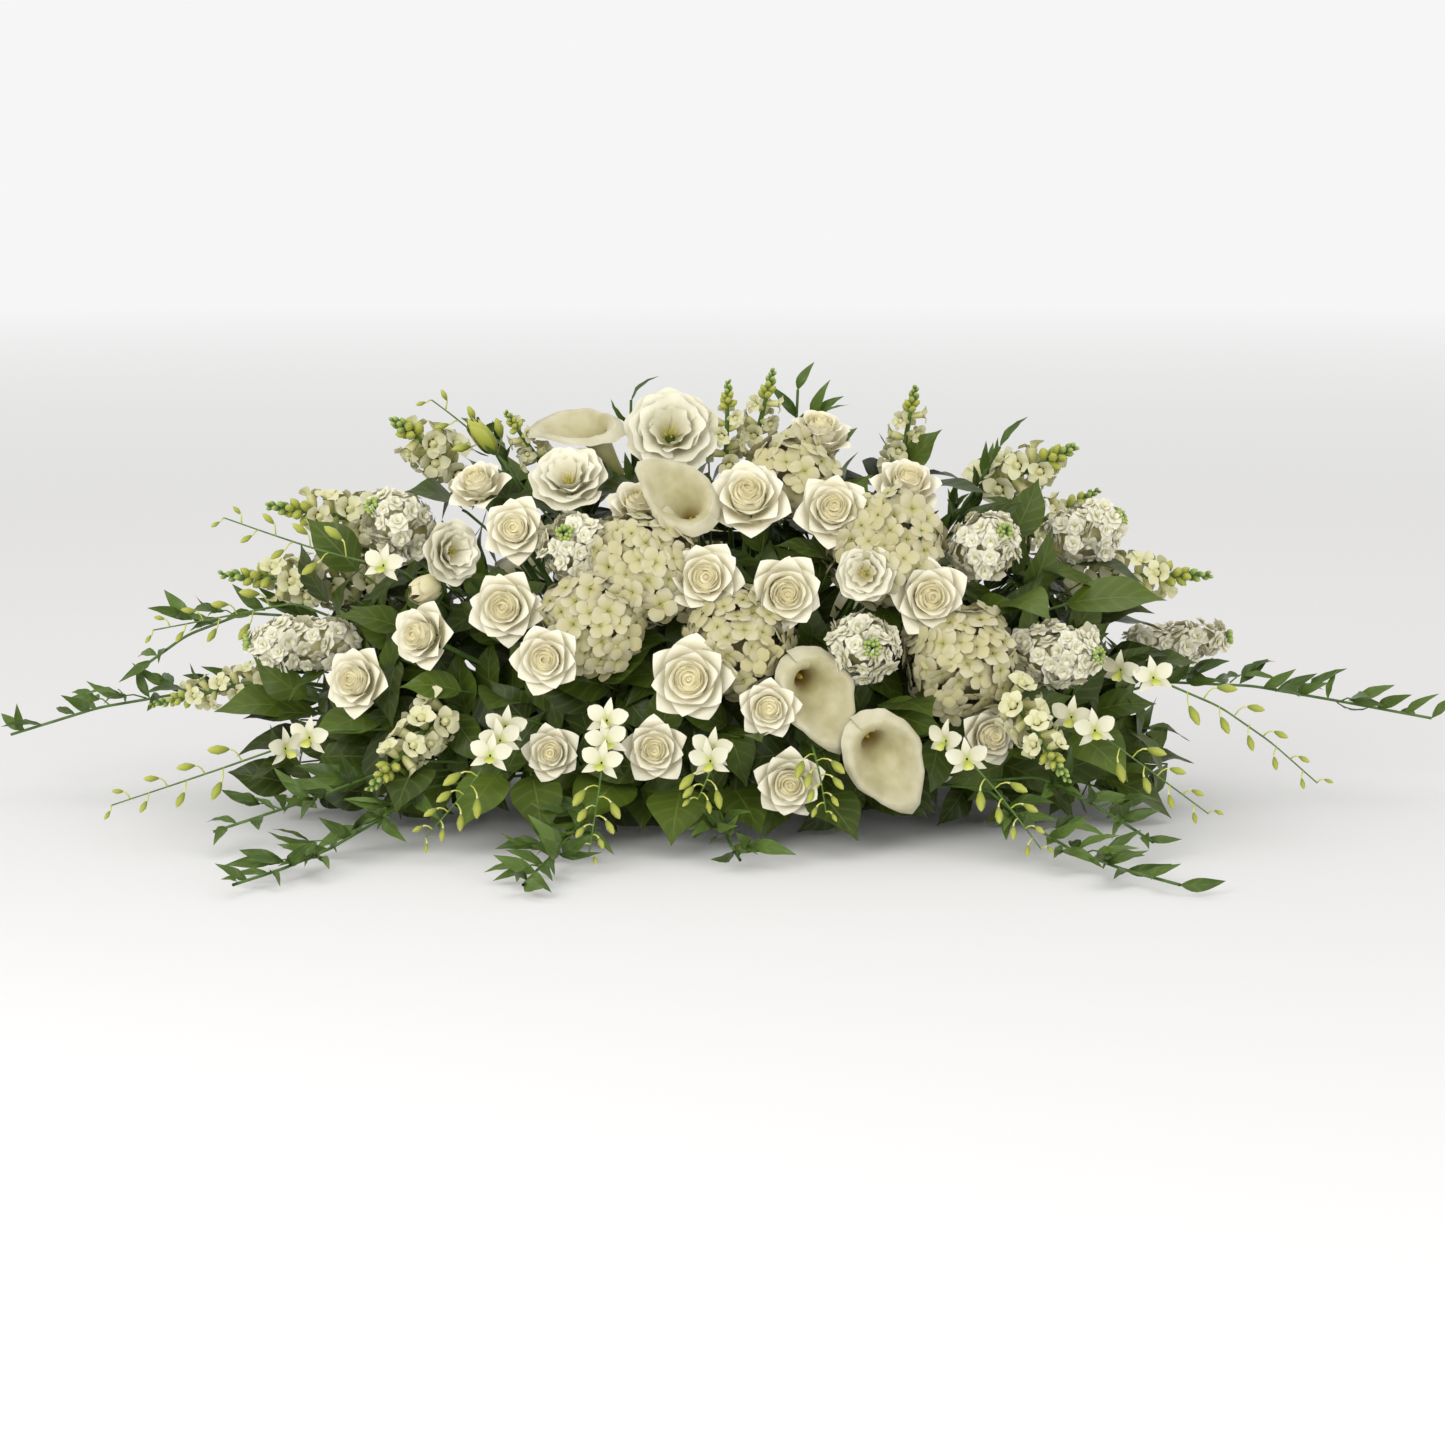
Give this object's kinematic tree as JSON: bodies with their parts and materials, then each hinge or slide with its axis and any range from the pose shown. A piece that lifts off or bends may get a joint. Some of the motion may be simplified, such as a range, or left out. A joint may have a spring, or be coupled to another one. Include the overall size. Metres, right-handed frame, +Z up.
{
  "type": "casket spray",
  "caption": "Long, low funeral arrangement of white flowers and trailing greens, standing in wet floral foam in a shallow plastic saddle with a flat base.",
  "frame": {"origin": "centre of the saddle's flat underside, on the surface that the spray lies on", "axes": "+X along the spray's length, to the right as seen from its front; -Y towards the front; +Z up"},
  "size_m": [1.748, 1.0285, 0.52],
  "materials": {
    "saddle": "matte",
    "foam": "matte",
    "rose": "matte",
    "lisianthus": "matte",
    "calla": "satin",
    "hydrangea": "matte",
    "stock": "matte",
    "snapdragon": "matte",
    "orchid": "satin",
    "greens": "satin"
  },
  "bodies": {
    "root": {"calla_01": "calla", "calla_02": "calla", "calla_03": "calla", "calla_04": "calla", "foam_left": "foam", "foam_right": "foam", "greens_front": "greens", "greens_front_left": "greens", "greens_front_right": "greens", "greens_left": "greens", "greens_rear": "greens", "greens_right": "greens", "greens_top": "greens", "hydrangea_01": "hydrangea", "hydrangea_02": "hydrangea", "hydrangea_03": "hydrangea", "hydrangea_04": "hydrangea", "hydrangea_05": "hydrangea", "lisianthus_01": "lisianthus", "lisianthus_02": "lisianthus", "lisianthus_03": "lisianthus", "lisianthus_04": "lisianthus", "orchids_01": "orchid", "orchids_02": "orchid", "orchids_03": "orchid", "rear_hydrangea": "hydrangea", "rear_roses": "rose", "rear_snapdragons": "snapdragon", "rear_stocks": "stock", "rose_01": "rose", "rose_02": "rose", "rose_03": "rose", "rose_04": "rose", "rose_05": "rose", "rose_06": "rose", "rose_07": "rose", "rose_08": "rose", "rose_09": "rose", "rose_10": "rose", "rose_11": "rose", "rose_12": "rose", "rose_13": "rose", "rose_14": "rose", "rose_15": "rose", "rose_16": "rose", "rose_17": "rose", "rose_18": "rose", "rose_19": "rose", "rose_20": "rose", "saddle": "saddle", "snapdragon_01": "snapdragon", "snapdragon_02": "snapdragon", "snapdragon_03": "snapdragon", "snapdragon_04": "snapdragon", "stock_01": "stock", "stock_02": "stock", "stock_03": "stock", "stock_04": "stock", "stock_05": "stock"}
  },
  "joints": []
}
